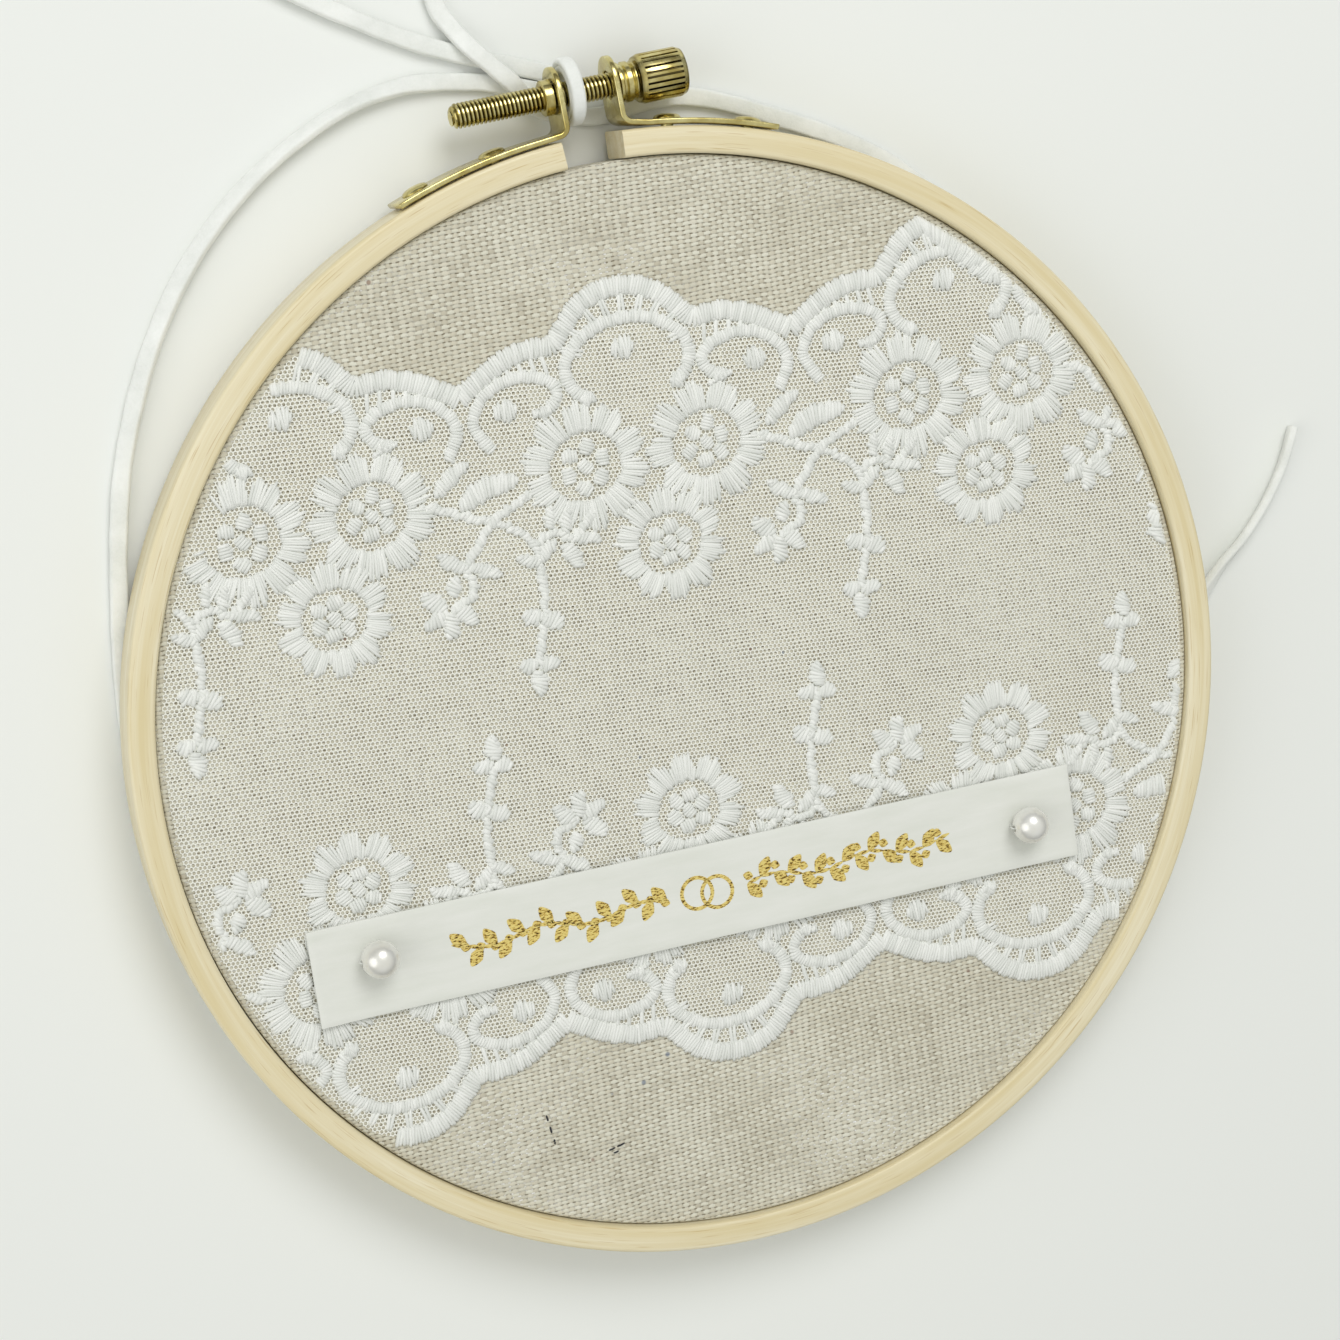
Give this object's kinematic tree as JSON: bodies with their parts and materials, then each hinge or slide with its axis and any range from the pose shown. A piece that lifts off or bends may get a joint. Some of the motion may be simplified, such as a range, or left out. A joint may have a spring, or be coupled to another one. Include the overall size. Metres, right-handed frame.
{
  "type": "ring bearer hoop",
  "caption": "Flat round wedding ring holder: linen and lace stretched in a split bamboo embroidery hoop, with a pearl-ended label, a brass thumbscrew and a hanging cord.",
  "frame": {"origin": "middle of the bounding box's underside, measured without the cord; the hoop lies on its back", "axes": "+Z out of the front of the hoop, +Y towards the thumbscrew, +X towards the screw's knurled head"},
  "size_m": [0.1854, 0.2322, 0.0161],
  "materials": {
    "bamboo": "lacquered",
    "linen": "woven",
    "lace": "embroidered",
    "label": "satin",
    "pearl": "pearlescent",
    "thread": "twisted",
    "brass": "polished",
    "cord": "matte"
  },
  "bodies": {
    "inner_hoop_body": {"inner_hoop": "bamboo", "linen_panel": "linen", "linen_margin": "linen", "lace_overlay": "lace", "label_strip": "label", "pearl_left": "pearl", "pearl_right": "pearl", "pearl_thread_left": "thread", "pearl_thread_right": "thread"},
    "outer_hoop_body": {"outer_hoop": "bamboo", "bracket_left": "brass", "bracket_right": "brass", "rivet_left_1": "brass", "rivet_left_2": "brass", "rivet_right_1": "brass", "rivet_right_2": "brass", "threaded_bush": "brass", "cord_wrap": "cord", "hanging_loop": "cord", "tail_left": "cord", "tail_right": "cord"},
    "ferrule_body": {"screw_ferrule": "brass"},
    "thumbscrew_body": {"thumbscrew_shank": "brass", "thumbscrew_head": "brass"}
  },
  "joints": [
    {"name": "outer_hoop_lift", "type": "slide", "parent": "inner_hoop_body", "child": "outer_hoop_body", "axis": [0, 0, 1], "range_m": [0, 0.012]},
    {"name": "screw_travel", "type": "slide", "parent": "outer_hoop_body", "child": "ferrule_body", "axis": [1, 0, 0], "range_m": [0, 0.015]},
    {"name": "screw_turn", "type": "hinge", "parent": "ferrule_body", "child": "thumbscrew_body", "pos_m": [0, 0.08203, 0.00625], "axis": [1, 0, 0], "range_deg": [0, 9002]}
  ],
  "couplings": [
    {"joint": "screw_turn", "follows": "screw_travel", "rad_per_m": 10472}
  ]
}
